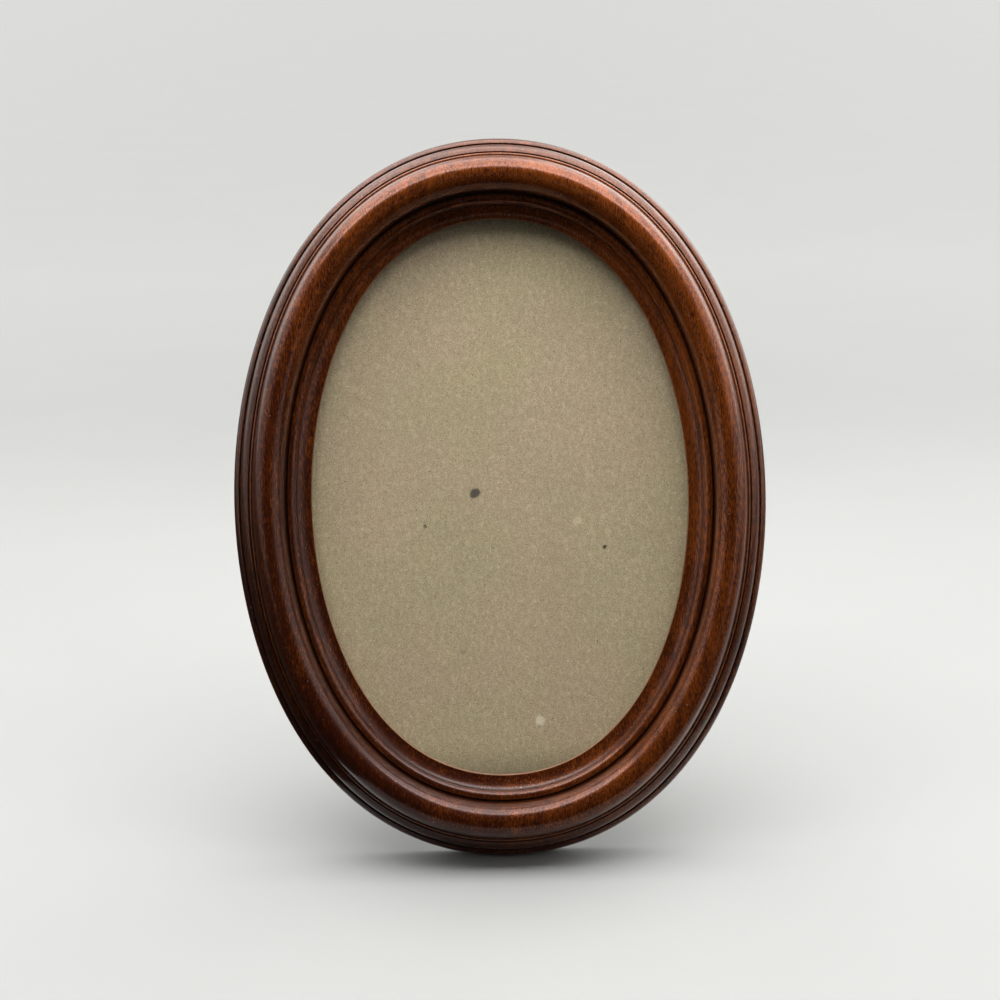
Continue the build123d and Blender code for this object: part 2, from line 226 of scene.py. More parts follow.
class Surface:
    """The node tree of one finish."""

    def __init__(self, name=None, tree=None):
        if tree is None:
            self.material = bpy.data.materials.new(name)
            self.material.use_nodes = True
            tree = self.material.node_tree
        self.tree = tree
        self.tree.nodes.clear()

    def node(self, kind, settings=None, values=None, out=0):
        """Adds a node: its settings first, then the values or links of its sockets."""
        node = self.tree.nodes.new(kind)
        for key, value in (settings or {}).items():
            setattr(node, key, value)
        for key, value in (values or {}).items():
            if isinstance(value, Socket):
                self.tree.links.new(value.socket, node.inputs[key])
            else:
                target = node.inputs[key]
                if hasattr(target.default_value, "__len__") and len(value) < len(target.default_value):
                    value = (*value, 1)
                target.default_value = value
        return Socket(self, node.outputs[out])

    def place(self, turn=(0, 0, 0), stretch=(1, 1, 1), shift=(0, 0, 0)):
        """Object coordinates, turned, then stretched along the turned axes."""
        start = self.node("ShaderNodeTexCoord", out="Object")
        placing = {"Vector": start, "Rotation": turn, "Location": shift}
        turned = self.node("ShaderNodeMapping", None, placing)
        return self.node("ShaderNodeMapping", None, {"Vector": turned, "Scale": stretch})

    def split(self, vector):
        """The three parts of a vector."""
        apart = self.tree.nodes.new("ShaderNodeSeparateXYZ")
        self.tree.links.new(vector.socket, apart.inputs[0])
        return [Socket(self, output) for output in apart.outputs]

    def noise(self, vector, size, detail=2.0, rough=0.5, warp=0.0):
        """Noise whose lumps are about this size in metres."""
        values = {"Vector": vector, "Scale": 1 / size, "Distortion": warp}
        values.update({"Detail": detail, "Roughness": rough})
        return self.node("ShaderNodeTexNoise", None, values)

    def between(self, value, low, high):
        """0 where the value is at low, 1 where it is at high, with a soft passage."""
        values = {"Value": value, "From Min": low, "From Max": high}
        return self.node("ShaderNodeMapRange", {"interpolation_type": "SMOOTHSTEP"}, values)

    def blend(self, share, first, second):
        """Goes from the first colour to the second as the share goes from 0 to 1."""
        mix = self.tree.nodes.new("ShaderNodeMix")
        mix.data_type = "RGBA"
        for index, value in ((0, share), (6, first), (7, second)):
            if isinstance(value, Socket):
                self.tree.links.new(value.socket, mix.inputs[index])
            else:
                mix.inputs[index].default_value = (*value, 1) if hasattr(value, "__len__") else value
        return Socket(self, mix.outputs[2])

    def bump(self, height, strength, distance):
        """A fine relief, as deep as this distance in metres."""
        values = {"Height": height, "Strength": strength, "Distance": distance}
        return self.node("ShaderNodeBump", None, values, out="Normal")

    def shell(self, values):
        """The finish itself, on the output."""
        shader = self.node("ShaderNodeBsdfPrincipled", None, values)
        self.node_output(shader)
        return self.material

    def mixed(self, share, first, second):
        """Goes from the first shader to the second, on the output."""
        self.node_output(self.node("ShaderNodeMixShader", None, {0: share, 1: first, 2: second}))
        return self.material

    def node_output(self, shader, kind="Material"):
        """Puts a shader on the output."""
        end = self.tree.nodes.new("ShaderNodeOutput" + kind)
        self.tree.links.new(shader.socket, end.inputs["Surface"])


# Finishes


def wood_finish(colours, lean):
    """Stained and lacquered hardwood with an upright grain of short flecks, made paler towards the
    right and the top by painted light, and darkened on the outer steps by painted shade.
    """
    s = Surface("stained_wood")
    upright = (lean, 0, 0)
    marks = s.node("ShaderNodeAttribute", {"attribute_name": "moulding"}, out="Vector")
    groove, worn, bare = s.split(marks)
    flecks = s.noise(s.place(upright, stretch=(1, 1, 0.15)), size=0.27 * MM, detail=3, rough=0.6)
    apart_from_flecks = (13 * MM, 7 * MM, 0)
    pore_place = s.place(upright, stretch=(1, 1, 0.12), shift=apart_from_flecks)
    pores = s.noise(pore_place, size=0.24 * MM, detail=1, rough=0.4)
    streak_place = s.place(upright, stretch=(1, 1, 0.07))
    streaks = s.noise(streak_place, size=2.6 * MM, detail=3, rough=0.55, warp=0.4)
    patches = s.noise(s.place(upright, stretch=(1, 1, 0.5)), size=26 * MM, detail=2, rough=0.5)
    # Painted light: the wood is made paler towards the right side and towards the top, as if lit more
    # from there.
    right, _, high = s.split(s.place())
    painted_light_right = s.between(right, -75 * MM, 75 * MM) - 0.5
    painted_light_top = s.between(high, 30 * MM, 190 * MM) - 0.5
    light = flecks * 0.70 + streaks * 0.20 + patches * 0.18 + painted_light_right * 0.10 + painted_light_top * 0.08
    light = s.between(light, 0.45, 0.71)
    pore_mask = s.between(pores, 0.58, 0.70)
    shade = s.blend(light, colours.stain_dark, colours.pale_stain_and_painted_light)
    shade = s.blend(pore_mask * 0.5, shade, colours.dark_stain_and_painted_shade)
    # Stain in the grooves and corners, which also stands in for their shade, and painted shade over all
    # the outer steps.
    shade = s.blend(groove * 0.8, shade, colours.dark_stain_and_painted_shade)
    shade = s.blend(worn * 0.35, shade, colours.pale_stain_and_painted_light)
    shade = s.blend(bare * 0.9, shade, colours.bare_wood)
    dust = s.between(s.noise(s.place(), size=0.5 * MM, detail=0), 0.86, 0.88)
    shade = s.blend(dust * 0.5, shade, colours.dust)
    peel = s.noise(s.place(), size=2.4 * MM, detail=2, rough=0.5)
    height = flecks * 0.5 - pore_mask * 0.4 + peel * 0.5
    return s.shell(
        {
            "Base Color": shade,
            "Roughness": 0.27 + peel * 0.08 + groove * 0.05 + bare * 0.3,
            "Metallic": (0.33 + light * 0.14) * (1 - bare) * (1 - groove * 0.5),
            "Specular IOR Level": 0.12,
            "Coat Weight": (1 - bare * 0.9) * (0.68 + light * 0.32),
            "Coat Roughness": 0.13,
            "Coat IOR": 1.33,
            "Normal": s.bump(height, strength=0.42, distance=0.03 * MM),
        }
    )


def glass_finish(colours):
    """Thin clear sheet glass: what lies behind shows, with a faint reflection over it."""
    s = Surface("picture_glass")
    clear = s.node("ShaderNodeBsdfTransparent", None, {"Color": colours.glass})
    gloss = s.node("ShaderNodeBsdfAnisotropic", None, {"Color": (1, 1, 1), "Roughness": 0.03})
    facing = s.node("ShaderNodeLayerWeight", None, {"Blend": 0.5}, out="Facing")
    ripple = s.noise(s.place(), size=40 * MM, detail=1)
    head_on = 0.03
    return s.mixed((facing ** 5 * 0.9 + ripple * 0.01 + head_on).clamped(), clear, gloss)


# Marks that show on the chipboard: millimetres to the right and up from the oval's centre, radius
# in millimetres, strength and colour
BOARD_MARKS = (
    (-7.6, 1.2, 2.1, 0.85, (0.035, 0.035, 0.035)),
    (31.1, -15.6, 0.8, 0.9, (0.03, 0.02, 0.015)),
    (-22.6, -8.4, 0.8, 0.7, (0.05, 0.04, 0.03)),
    (10.6, -67.4, 1.8, 0.45, (0.85, 0.78, 0.62)),
    (23.0, -7.6, 1.6, 0.30, (0.80, 0.62, 0.42)),
    (-12.0, -46.5, 1.0, 0.45, (0.12, 0.10, 0.07)),
)


def spot(s, point, centre, radius):
    """1 at a place on the board, fading to 0 at that radius, with a ragged outline."""
    away = s.node("ShaderNodeVectorMath", {"operation": "DISTANCE"}, {0: point, 1: centre}, out="Value")
    ragged = away + (s.noise(point, size=radius * 0.9, detail=2, rough=0.6) - 0.5) * (radius * 0.9)
    return 1 - s.between(ragged, radius * 0.45, radius)


def chipboard_finish(colours, on_face):
    """Olive-grey chipboard: pressed fibres, fine light and dark specks, warmer patches, a few marks."""
    s = Surface("chipboard")
    point = s.place()
    mottle = s.noise(point, size=24 * MM, detail=3, rough=0.55)
    patches = s.noise(s.place(shift=(0.31, 0.1, 0.07)), size=38 * MM, detail=2, rough=0.5)
    fibres = s.noise(point, size=0.34 * MM, detail=3, rough=0.75)
    coarse = s.noise(s.place((0, 0, 0.6), stretch=(1, 1, 0.5)), size=1.1 * MM, detail=2, rough=0.6)

    def specks(shift):
        return s.between(s.noise(s.place(shift=shift), size=0.42 * MM, detail=1, rough=0.4), 0.64, 0.76)

    dark, pale = specks((0.2, 0, 0)), specks((0, 0.2, 0))
    bark = s.between(s.noise(s.place(shift=(0.4, 0.3, 0)), size=0.8 * MM, detail=0), 0.84, 0.88)
    warm = s.between(patches, 0.44, 0.62)
    shade = s.blend(warm * 0.8, colours.board_olive, colours.board_pink)
    shade = s.blend(s.between(mottle, 0.35, 0.7) * 0.16, shade, colours.board_shade)
    shade = s.blend(s.between(fibres, 0.42, 0.58) * 0.75, shade, colours.board_fibre)
    shade = s.blend(s.between(coarse, 0.45, 0.72) * 0.22, shade, colours.board_flake)
    shade = s.blend(dark * 0.5, shade, colours.board_dark)
    shade = s.blend(pale * 0.5, shade, colours.board_pale)
    shade = s.blend(bark * 0.6, shade, colours.board_bark)
    for across, up, radius, strength, tint in BOARD_MARKS:
        centre = on_face(across * MM, up * MM, 5 * MM)
        shade = s.blend(spot(s, point, centre, radius * MM) * strength, shade, tint)
    upwards = on_face(0, 1, 0) - on_face(0, 0, 0)
    along = {"operation": "DOT_PRODUCT"}
    from_foot = s.node("ShaderNodeVectorMath", along, {0: point, 1: upwards}, out="Value")
    # The sheet is darker along its lower edge, next to the lower rim.
    darker_foot = 1 - s.between(from_foot, 21 * MM, 34 * MM)
    shade = s.blend(darker_foot * 0.6, shade, colours.board_foot)
    height = fibres * 0.6 + coarse * 0.4
    return s.shell(
        {
            "Base Color": shade,
            "Roughness": 0.82 + fibres * 0.12,
            "Specular IOR Level": 0.25,
            "Normal": s.bump(height, strength=0.35, distance=0.06 * MM),
        }
    )


def velour_finish(colours):
    """Black flocked board: a short nap that lightens where it is brushed, with lint."""
    s = Surface("black_velour")
    nap = s.noise(s.place(), size=0.45 * MM, detail=3, rough=0.7)
    stroked = s.place((0.3, 0.2, 0.5), stretch=(1, 1, 0.35))
    brushed = s.noise(stroked, size=21 * MM, detail=3, rough=0.6, warp=0.6)
    lint = s.between(s.noise(s.place(shift=(0.2, 0.4, 0)), size=0.6 * MM, detail=0), 0.84, 0.87)
    shade = s.blend(s.between(brushed, 0.4, 0.68) * 0.75, colours.velour, colours.velour_brushed)
    shade = s.blend(s.between(nap, 0.45, 0.75) * 0.4, shade, colours.velour_tips)
    shade = s.blend(lint * 0.3, shade, colours.lint)
    return s.shell(
        {
            "Base Color": shade,
            "Roughness": 0.88 + nap * 0.1,
            "Specular IOR Level": 0.12,
            "Sheen Weight": 0.55,
            "Sheen Roughness": 0.45,
            "Sheen Tint": colours.velour_sheen,
            "Normal": s.bump(nap, strength=0.9, distance=0.12 * MM),
        }
    )


def metal_finish(name, bright, dull, rough):
    """Plated metal with dulled patches, fine scratches and specks."""
    s = Surface(name)
    patches = s.noise(s.place(), size=3.2 * MM, detail=4, rough=0.6)
    rubbed = s.place((0.2, 0.4, 0.9), stretch=(1, 0.06, 1))
    scratches = s.noise(rubbed, size=0.16 * MM, detail=2, rough=0.6)
    specks = s.between(s.noise(s.place(shift=(0.1, 0, 0)), size=0.35 * MM, detail=1), 0.70, 0.78)
    shade = s.blend(s.between(patches, 0.42, 0.72) * 0.55, bright, dull)
    shade = s.blend(specks * 0.5, shade, dull)
    height = scratches * 0.5 + patches * 0.3
    return s.shell(
        {
            "Base Color": shade,
            "Metallic": 1.0,
            "Roughness": (rough + (patches - 0.5) * 0.3 + scratches * 0.12 + specks * 0.15).clamped(),
            "Normal": s.bump(height, strength=0.22, distance=0.02 * MM),
        }
    )


# Modelling helpers


def only(piece):
    """Selects one object and makes it the active one."""
    bpy.ops.object.select_all(action="DESELECT")
    piece.select_set(True)
    bpy.context.view_layer.objects.active = piece


def nothing():
    """Leaves no object selected or active."""
    bpy.ops.object.select_all(action="DESELECT")
    bpy.context.view_layer.objects.active = None


class Editing:
    """Edit mode on one piece with all of it selected, left again at the end of the block."""

    def __init__(self, piece):
        self.piece = piece

    def __enter__(self):
        only(self.piece)
        bpy.ops.object.mode_set(mode="EDIT")
        bpy.ops.mesh.select_all(action="SELECT")
        return self.piece

    def __exit__(self, *problem):
        bpy.ops.object.mode_set(mode="OBJECT")


@contextmanager
def chosen(piece, kind, test):
    """Edit mode on the points or faces that pass the test, left again at the end of the block."""
    pick(piece, kind, test)
    bpy.ops.object.mode_set(mode="EDIT")
    yield
    bpy.ops.object.mode_set(mode="OBJECT")


def pick(piece, kind, test):
    """Selects the points or faces that pass the test, and nothing else."""
    for parts in (piece.data.vertices, piece.data.edges, piece.data.polygons):
        parts.foreach_set("select", [False] * len(parts))
    for part in getattr(piece.data, kind):
        part.select = bool(test(part))


def coated(piece, finish):
    """Gives a piece one finish in place of those it had."""
    piece.data.materials.clear()
    piece.data.materials.append(finish)


def settle(piece, name, body, nodes, finish):
    """Names a finished piece, gives it its finish and ties it to its body."""
    piece.name = piece.data.name = name
    only(piece)
    bpy.ops.object.transform_apply(location=True, rotation=True, scale=True)
    coated(piece, finish)
    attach(piece, body)
    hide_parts(*nodes)
    nothing()
    return piece


def even_shading(piece, angle):
    """Smooth shading with edges where faces meet at more than this angle in degrees."""
    bpy.ops.object.shade_smooth_by_angle(angle=radians(angle))
    weigh = piece.modifiers.new("even shading", "WEIGHTED_NORMAL")
    weigh.keep_sharp = True
    bpy.ops.object.modifier_apply(modifier=weigh.name)


def sheet(name, middle, across, deep):
    """A level rectangle for the studio."""
    nothing()
    bpy.ops.mesh.primitive_plane_add(size=1, location=middle)
    piece = bpy.context.object
    piece.name = piece.data.name = name
    piece.scale = (across, deep, 1)
    bpy.ops.object.transform_apply(location=False, rotation=False, scale=True)
    return piece


def leaning(settings):
    """Turns a shape lying face up round the oval's centre into its leaning place."""
    m = settings.moulding
    half = m.sight_height / 2 + moulding_width(m)
    rise, run = cos(m.lean), sin(m.lean)
    shift = m.planed_depth * (rise / run - run / rise) / 2
    centre = Vector((0, half * run + shift, half * rise - m.planed_depth))
    return Matrix.Translation(centre) @ Matrix.Rotation(pi / 2 - m.lean, 4, "X")


def moulding_width(m):
    """From the sight edge to the outer edge."""
    inner = m.slope_width + m.astragal_radius + m.land_width + m.quirk_width
    flank = m.torus_radius * (1 + sin(m.flank_angle)) + flank_run(m)
    outer = m.fillet_width + m.groove_width + m.bead_width + m.edge_groove_width + m.edge_width
    return inner + flank + outer


def flank_run(m):
    """How far the straight foot of the large round's outer flank runs outwards."""
    drop = m.rim_thickness - m.torus_radius * (1 - cos(m.flank_angle)) - m.fillet_height
    return drop / tan(m.flank_angle)


# Rim


class FRAME_OT_rim(Operator):
    """Runs the stepped moulding round the sight oval and planes it flat where it stands"""

    bl_idname = "oval_frame.rim"
    bl_label = "Moulded Rim"

    def execute(self, context):
        settings = context.scene.oval_frame
        m = settings.moulding
        outline = self.section(m)
        only(outline)
        bpy.ops.object.convert(target="CURVE")
        section = bpy.context.object
        nothing()
        bpy.ops.curve.primitive_bezier_circle_add(radius=m.sight_width / 2)
        path = bpy.context.object
        bpy.ops.object.mode_set(mode="EDIT")
        bpy.ops.curve.select_all(action="SELECT")
        taller = m.sight_height / m.sight_width
        bpy.ops.transform.resize(value=(1, taller, 1), center_override=(0, 0, 0))
        bpy.ops.object.mode_set(mode="OBJECT")
        path.data.resolution_u = m.rings
        path.data.dimensions = "2D"
        path.data.fill_mode = "NONE"
        path.data.bevel_mode = "OBJECT"
        path.data.bevel_object = section
        only(path)
        bpy.ops.object.convert(target="MESH")
        rim = bpy.context.object
        bpy.data.objects.remove(section)
        self.mark(rim, m)
        self.narrow_sides(rim, m)
        rim.matrix_world = leaning(settings)
        only(rim)
        bpy.ops.object.transform_apply(location=True, rotation=True, scale=True)
        with Editing(rim):
            bpy.ops.mesh.remove_doubles(threshold=SAME_POINT)
            bpy.ops.mesh.normals_make_consistent(inside=False)
            bpy.ops.mesh.bisect(
                plane_co=(0, 0, 0),
                plane_no=(0, 0, 1),
                use_fill=True,
                clear_inner=True,
                clear_outer=False,
                threshold=SAME_POINT / 2,
            )
        only(rim)
        even_shading(rim, 38)
        finish = wood_finish(settings.colours, m.lean)
        settle(rim, "moulded_rim", "frame", ["rim"], finish)
        return {"FINISHED"}

    def section(self, m):
        """The moulding's outline: outwards is -X, the front is +Y."""
        nothing()
        bpy.ops.mesh.primitive_plane_add(size=MM, location=(0, 0, 0))
        outline = bpy.context.object
        pen = [m.rabbet_width, 0.0]

        def line(out=None, high=None):
            """A straight line to a place further out or higher."""
            right = 0 if out is None else out - pen[0]
            up = 0 if high is None else high - pen[1]
            bpy.ops.mesh.extrude_region_move(TRANSFORM_OT_translate={"value": (-right, up, 0)})
            pen[0] += right
            pen[1] += up

        def arc(middle, turn, steps):
            """A round about a middle, turning clockwise where the angle is negative."""
            centre = (-middle[0], middle[1], 0)
            bpy.ops.mesh.spin(steps=steps, angle=turn, center=centre, axis=(0, 0, 1))
            spoke = Vector((pen[0] - middle[0], pen[1] - middle[1]))
            spoke.rotate(Matrix.Rotation(turn, 2))
            pen[0], pen[1] = middle[0] + spoke[0], middle[1] + spoke[1]

        def bead(width):
            """A low round that falls outwards over this width."""
            radius = width / (sin(m.bead_end) - sin(m.bead_start))
            middle = (pen[0] - radius * sin(m.bead_start), pen[1] - radius * cos(m.bead_start))
            arc(middle, m.bead_start - m.bead_end, 8)

        front = m.rabbet_depth + m.lip_thickness
        slope_top = front + m.slope_rise
        land_top = slope_top + m.astragal_radius
        land_foot = m.slope_width + m.astragal_radius
        quirk = land_foot + m.land_width
        torus = quirk + m.quirk_width
        axis = m.rim_thickness - m.torus_radius
        corners = []
        with Editing(outline):
            bpy.ops.mesh.merge(type="CENTER")
            bpy.ops.transform.translate(value=(-m.rabbet_width, 0, 0))
            corners.append((m.rabbet_width, 0.0, m.back_arris / 2))
            line(high=m.rabbet_depth)
            line(out=0)
            line(high=front)
            corners.append((0.0, front, m.crisp_arris))
            chord = atan2(m.slope_rise, m.slope_width)
            hollow = hypot(m.slope_rise, m.slope_width) / 2 / sin(chord - m.slope_start)
            middle = (-hollow * sin(m.slope_start), front + hollow * cos(m.slope_start))
            arc(middle, 2 * (chord - m.slope_start), 8)
            arc((land_foot, slope_top), -pi / 2, 9)
            line(out=quirk)
            corners.append((quirk, land_top, m.crisp_arris))
            line(high=land_top - m.quirk_depth)
            line(out=torus)
            line(high=axis)
            arc((torus + m.torus_radius, axis), -pi / 2 - m.flank_angle, 30)
            fillet = pen[0] + flank_run(m)
            line(out=fillet, high=m.fillet_height)
            line(out=fillet + m.fillet_width)
            corners.append((pen[0], pen[1], m.soft_arris))
            line(high=m.bead_height - m.groove_depth)
            line(out=fillet + m.fillet_width + m.groove_width)
            line(high=m.bead_height)
            corners.append((pen[0], pen[1], m.crisp_arris))
            bead(m.bead_width)
            edge_groove = pen[0]
            line(high=m.edge_height - m.edge_groove_depth)
            line(out=edge_groove + m.edge_groove_width)
            line(high=m.edge_height)
            corners.append((pen[0], pen[1], m.crisp_arris))
            bead(m.edge_width)
            line(high=0)
            corners.append((pen[0], 0.0, m.back_arris))
            line(out=m.rabbet_width)
            bpy.ops.mesh.select_all(action="SELECT")
            bpy.ops.mesh.remove_doubles(threshold=SAME_POINT)
        for out, high, size in corners:
            corner = Vector((-out, high))
            near = 10 * SAME_POINT
            with chosen(outline, "vertices", lambda point: (point.co.xy - corner).length < near):
                bpy.ops.mesh.bevel(offset=size, segments=4, affect="VERTICES")
        return outline

    def narrow_sides(self, rim, m):
        """Draws the lines of the moulding in at the sides, from the quirk outwards."""
        ring = len(rim.data.vertices) // (4 * m.rings)
        quirk = m.slope_width + m.astragal_radius + m.land_width
        crest = quirk + m.quirk_width + 2 * m.torus_radius
        points = rim.data.vertices
        at_top = max(range(0, len(points), ring), key=lambda start: points[start].co.y)
        for line in range(ring):
            out = rim.data.vertices[at_top + line].co.y - m.sight_height / 2
            share_lost = min(1, max(0, (out - quirk) / (crest - quirk)))
            if share_lost == 0:
                continue
            across = m.sight_width / 2 + out
            narrower = 1 - m.side_loss * share_lost / across
            with chosen(rim, "vertices", lambda point: point.index % ring == line):
                bpy.ops.transform.resize(value=(narrower, 1, 1), center_override=(0, 0, 0))

    def mark(self, rim, m):
        """Stores on each point how dark the wood is (stain in the corners and the deep quirk, which
        also stands in for their shade, and painted shade over the outer steps), how worn and how bare
        it is.
        """
        count = len(rim.data.vertices)
        places = np.empty(count * 3)
        rim.data.vertices.foreach_get("co", places)
        places = places.reshape(-1, 3)
        ring = count // (4 * m.rings)
        first = places[:ring]
        at_side = abs(first[0, 0]) > abs(first[0, 1])
        sight = m.sight_width if at_side else m.sight_height
        out = np.hypot(first[:, 0], first[:, 1]) - sight / 2
        high = first[:, 2]
        front = m.rabbet_depth + m.lip_thickness
        land_top = front + m.slope_rise + m.astragal_radius
        quirk = m.slope_width + m.astragal_radius + m.land_width
        crest = quirk + m.quirk_width + m.torus_radius
        here = np.stack([out, high], 1)
        before = here - np.roll(here, 1, 0)
        after = np.roll(here, -1, 0) - here
        bend = before[:, 0] * after[:, 1] - before[:, 1] * after[:, 0]
        come, go = np.linalg.norm(before, axis=1), np.linalg.norm(after, axis=1)
        turn = np.abs(bend / np.maximum(come * go, 1e-12))
        sharp = turn > 0.8
        tight = turn / ((come + go) / 2) > 1 / MM
        close = 0.01 * MM
        in_quirk = (out > quirk - close) & (out < quirk + m.quirk_width + close)
        deep = in_quirk & (high < land_top - 0.6 * m.quirk_depth)
        # Painted shade: the outer steps below the fillet are darkened all round.
        painted_shade_outer_steps = (high > 0.5 * MM) & (high < m.fillet_height - 0.3 * MM) & (out > crest)
        corner = sharp & (high > front)
        marks = np.zeros((ring, 3))
        marks[:, 0] = np.where(painted_shade_outer_steps, 0.45 + corner * 0.1, corner | deep)
        marks[:, 1] = tight & ~sharp & (high > front - close)
        marks[:, 2] = (out < 3 * close) & (high < front - m.crisp_arris / 2)
        store = rim.data.attributes.new("moulding", "FLOAT_VECTOR", "POINT")
        store.data.foreach_set("vector", np.tile(marks, (count // ring, 1)).astype(np.float32).ravel())


# Glazing


class FRAME_OT_glazing(Operator):
    """Finishes the glass and the chipboard sheet behind it"""

    bl_idname = "oval_frame.glazing"
    bl_label = "Glass and Sheet"

    def execute(self, context):
        settings = context.scene.oval_frame
        place = leaning(settings)
        to_front = place.to_3x3() @ Vector((0, 0, 1))
        finish = glass_finish(settings.colours)
        glass = dressed_copy("glass", "picture_glass", finish, arris=0, body="frame")
        only(glass)
        with chosen(glass, "polygons", lambda face: face.normal.dot(to_front) < -0.9):
            bpy.ops.transform.translate(value=to_front * settings.moulding.air_gap)
        nothing()

        def on_face(across, up, high):
            """A place on the leaning frame, from the oval's centre and from the back."""
            return place @ Vector((across, up, high))

        coated(frame["nodes"]["backing_sheet"], chipboard_finish(settings.colours, on_face))
        return {"FINISHED"}


# Easel back


def dressed_copy(node, name, finish, arris, body):
    """A copy of a solid's mesh with merged points, rounded arrises and even shading, in its place."""
    nothing()
    copy = frame["nodes"][node].copy()
    copy.data = frame["nodes"][node].data.copy()
    for key in list(copy.keys()):
        del copy[key]
    copy.parent = None
    bpy.context.scene.collection.objects.link(copy)
    with Editing(copy):
        bpy.ops.mesh.remove_doubles(threshold=SAME_POINT)
        bpy.ops.mesh.normals_make_consistent(inside=False)
        bpy.ops.mesh.dissolve_limited(angle_limit=radians(0.5))
    only(copy)
    if arris:
        round_off = copy.modifiers.new("arrises", "BEVEL")
        round_off.limit_method = "ANGLE"
        round_off.angle_limit = radians(40)
        round_off.width = arris
        round_off.segments = 2
        bpy.ops.object.modifier_apply(modifier=round_off.name)
    even_shading(copy, 32)
    return settle(copy, name, body, [node], finish)


class FRAME_OT_easel(Operator):
    """Covers the easel board and its leg in black velour"""

    bl_idname = "oval_frame.easel"
    bl_label = "Easel Back"

    def execute(self, context):
        settings = context.scene.oval_frame
        finish = velour_finish(settings.colours)
        dressed_copy("easel_board", "velour_board", finish, arris=0, body="frame")
        arris = settings.moulding.leg_arris
        dressed_copy("easel_leg", "velour_leg", finish, arris, body="leg")
        return {"FINISHED"}


class FRAME_OT_hardware(Operator):
    """Finishes the hinge, turn buttons, screws, rivets and hanger"""

    bl_idname = "oval_frame.hardware"
    bl_label = "Hardware"

    def execute(self, context):
        settings = context.scene.oval_frame
        colours = settings.colours
        brass = metal_finish("plated_brass", colours.brass, colours.tarnish, rough=0.24)
        steel = metal_finish("steel", colours.steel, colours.steel_dull, rough=0.3)
        not_metal = ("rim", "glass", "backing_sheet", "easel_board", "easel_leg")
        cut_from_sheet = ("hinge_board", "hinge_leg", "turn", "hanger_strap")
        for body, nodes in frame["record"]["behaviour"]["bodies"].items():
            for node in nodes:
                if node in not_metal:
                    continue
                slot, finish = "brass_hardware", brass
                if node == "hinge_pin":
                    slot, finish = "steel_pin", steel
                arris = settings.moulding.brass_arris if node.startswith(cut_from_sheet) else 0
                dressed_copy(node, "dressed_" + node, finish, arris, body)
        return {"FINISHED"}


# Studio


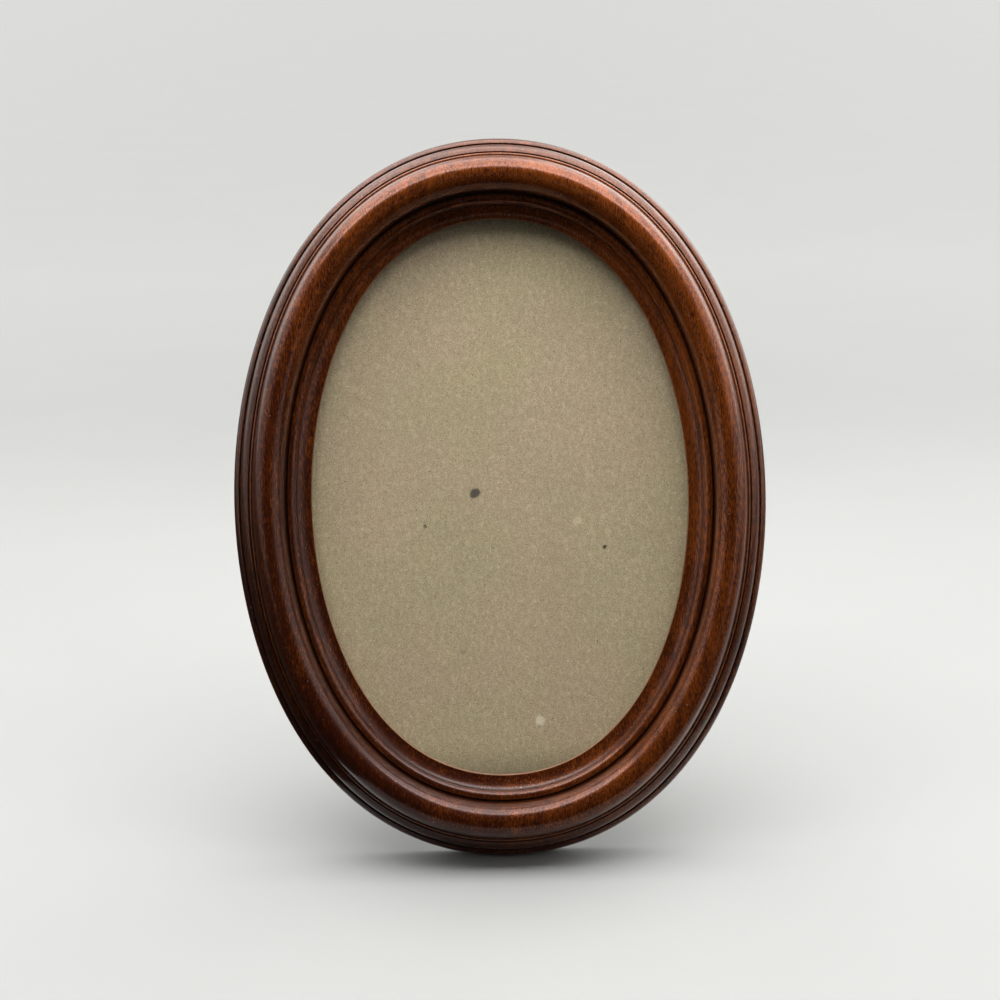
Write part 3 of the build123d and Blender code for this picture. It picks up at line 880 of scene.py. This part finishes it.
class FRAME_OT_studio(Operator):
    """Lays the paper floor and the cards, and sets the lights and the camera"""

    bl_idname = "oval_frame.studio"
    bl_label = "Studio"

    def execute(self, context):
        settings = context.scene.oval_frame
        self.floor(settings)
        self.cards(settings)
        self.window(settings)
        self.sky(settings)
        self.camera(settings)
        return {"FINISHED"}

    def floor(self, settings):
        """A paper floor whose far part keeps its tone where the window's light ends, by a painted glow
        that grows with distance; a fainter painted glow round the frame's foot lifts the shadow there,
        and painted shade darkens the far part as for a dimmer back wall.
        """
        studio, colours = settings.studio, settings.colours
        floor = sheet("paper_floor", (0, 0, 0), studio.floor_size, studio.floor_size)
        s = Surface("pale_paper")
        _, depth, _ = s.split(s.place())
        reach = s.node("ShaderNodeVectorMath", {"operation": "LENGTH"}, {0: s.place()}, out="Value")
        half_glow = 0.62
        cube = (reach / half_glow) ** 3
        # Painted light: besides the glow that grows with distance, the floor glows faintly from 12 to
        # 70 mm round the frame's foot, lifting its shadow.
        far = cube / (cube + 1) + s.between(reach, 12 * MM, 70 * MM) * 0.15
        tone = tuple(colours.floor)
        # Painted shade: the floor is darker from 0.28 to 0.64 m behind the frame, standing in for a
        # dimmer back wall.
        shade = s.blend(s.between(depth, 0.28, 0.64), tone, tuple(0.79 * part for part in tone))
        cloud = s.noise(s.place(), size=90 * MM, detail=2)
        shade = s.blend(s.between(cloud, 0.35, 0.7) * 0.04, shade, colours.floor_cloud)
        full_glow = tuple(studio.far_glow * part / max(tone) for part in tone)
        values = {
            "Base Color": shade,
            "Roughness": 0.75,
            "Specular IOR Level": 0.2,
            "Emission Color": s.blend(far, (0, 0, 0), full_glow),
            "Emission Strength": 1.0,
        }
        coated(floor, s.shell(values))
        nothing()

    def cards(self, settings):
        """Dark cards that only the frame sees, as little light comes from the floor round it."""
        studio, colours = settings.studio, settings.colours
        reach, lift = studio.card_reach, studio.card_lift
        left, right, front = -studio.card_left, studio.card_right, -studio.card_front
        for name, tone, low, high in (
            ("front_card", colours.card_black, (-reach, -reach), (reach, front)),
            ("left_card", colours.card_black, (-reach, front), (left, reach)),
            ("right_card", colours.card_grey, (right, front), (reach, reach)),
        ):
            middle = ((low[0] + high[0]) / 2, (low[1] + high[1]) / 2, lift)
            card = sheet(name, middle, high[0] - low[0], high[1] - low[1])
            s = Surface(name)
            dull = s.node("ShaderNodeBsdfDiffuse", None, {"Color": tone})
            clear = s.node("ShaderNodeBsdfTransparent")
            under = s.node("ShaderNodeNewGeometry", out="Backfacing")
            coated(card, s.mixed(under, dull, clear))
            card.visible_camera = False
        nothing()

    def window(self, settings):
        """A large soft light overhead, further open to the right, with a clear, bright front edge."""
        studio = settings.studio
        height = studio.window_height
        light = sheet("window_light", (0, 0, height), 4 * height, 3 * height)
        s = Surface("window_glow")
        across, back, _ = s.split(s.place())
        across, back = across / height, back / height
        open_left, open_right = s.between(across, -1.0, -0.5), 1 - s.between(across, 0.40, 1.20)
        open_front, open_back = s.between(back, -0.52, -0.40), 1 - s.between(back, 0.30, 0.82)
        opening = (open_left * open_right) * (open_front * open_back)
        strip = 1 - s.between(back, -0.30, -0.12)
        brightest = 1 + studio.window_front
        values = {
            "Base Color": (0, 0, 0),
            "Specular IOR Level": 0.0,
            "Emission Color": s.blend(strip, (1 / brightest,) * 3, (1, 1, 1)),
            "Emission Strength": studio.window * brightest,
        }
        shine = s.node("ShaderNodeBsdfPrincipled", None, values)
        clear = s.node("ShaderNodeBsdfTransparent")
        coated(light, s.mixed(opening, clear, shine))
        light.visible_camera = False
        nothing()

    def sky(self, settings):
        """Walls behind and at the sides, and darkness on the camera's side."""
        studio = settings.studio
        world = bpy.data.worlds.new("tent")
        world.use_nodes = True
        bpy.context.scene.world = world
        s = Surface(tree=world.node_tree)
        right, back, high = s.split(s.node("ShaderNodeTexCoord", out="Generated"))
        left = 0 - right
        off_middle = right.math("ABSOLUTE", right)
        behind = s.between(back, 0.05, 0.55) * (0.15 + s.between(off_middle, 0.03, 0.3) * 0.85)
        behind = behind * (0.15 + s.between(high, -0.05, 0.5) * 0.95)
        behind = behind * (1 - s.between(left, 0, 0.3) * 0.25)
        behind = behind * (1 - s.between(high, 0.45, 0.75) * 0.25)
        beside = s.between(right, 0.35, 0.95) + s.between(left, 0.5, 0.95) * 0.8
        beside = beside * (1 + s.between(high, 0.2, 0.5))
        walls = studio.front + behind * studio.back_wall + beside * studio.side_walls
        seen = s.node("ShaderNodeLightPath", out="Is Camera Ray")
        light = walls * (1 - seen) + seen * studio.far_tone
        values = {"Color": settings.colours.sky, "Strength": light}
        shine = s.node("ShaderNodeBackground", None, values)
        s.node_output(shine, "World")

    def camera(self, settings):
        """A camera square on to the frame's face."""
        studio = settings.studio
        bpy.ops.object.camera_add()
        camera = bpy.context.object
        camera.name = "camera"
        step_back = Matrix.Translation((0, 0, studio.camera_reach))
        camera.matrix_world = leaning(settings) @ step_back @ Matrix.Rotation(studio.roll, 4, "Z")
        camera.data.sensor_width = 36
        camera.data.lens = studio.focal
        camera.data.shift_y = studio.rise
        camera.data.clip_start, camera.data.clip_end = 0.02, 30
        scene = bpy.context.scene
        scene.camera = camera
        scene.view_settings.view_transform = "Standard"
        scene.view_settings.look = "None"
        nothing()


# Add-on


class OvalFrameSettings(PropertyGroup):
    """All that a user can change."""

    moulding: PointerProperty(type=MouldingSizes, name="Moulding", description="Sizes of the rim")
    colours: PointerProperty(type=FinishColours, name="Finishes", description="Colours of the finishes")
    studio: PointerProperty(type=StudioSettings, name="Studio", description="Camera and lights")


STEPS = (FRAME_OT_rim, FRAME_OT_glazing, FRAME_OT_easel, FRAME_OT_hardware, FRAME_OT_studio)


class FRAME_PT_panel(Panel):
    """Lists the steps in the sidebar"""

    bl_idname = "FRAME_PT_oval"
    bl_label = "Oval Table Frame"
    bl_space_type = "VIEW_3D"
    bl_region_type = "UI"
    bl_category = "Oval Frame"

    def draw(self, context):
        settings = context.scene.oval_frame
        for group in (settings.moulding, settings.colours, settings.studio):
            box = self.layout.box()
            for name in group.bl_rna.properties.keys():
                if name not in ("rna_type", "name"):
                    box.prop(group, name)
        for step in STEPS:
            self.layout.operator(step.bl_idname)


CLASSES = (MouldingSizes, FinishColours, StudioSettings, OvalFrameSettings, *STEPS, FRAME_PT_panel)


def register():
    """Puts the add-on in."""
    for each in CLASSES:
        bpy.utils.register_class(each)
    bpy.types.Scene.oval_frame = PointerProperty(type=OvalFrameSettings)


def unregister():
    """Takes the add-on out again."""
    del bpy.types.Scene.oval_frame
    for each in reversed(CLASSES):
        bpy.utils.unregister_class(each)


def main():
    """Builds all of it in order."""
    register()
    for step in STEPS:
        group, name = step.bl_idname.split(".")
        getattr(getattr(bpy.ops, group), name)()


if __name__ == "__main__":
    main()
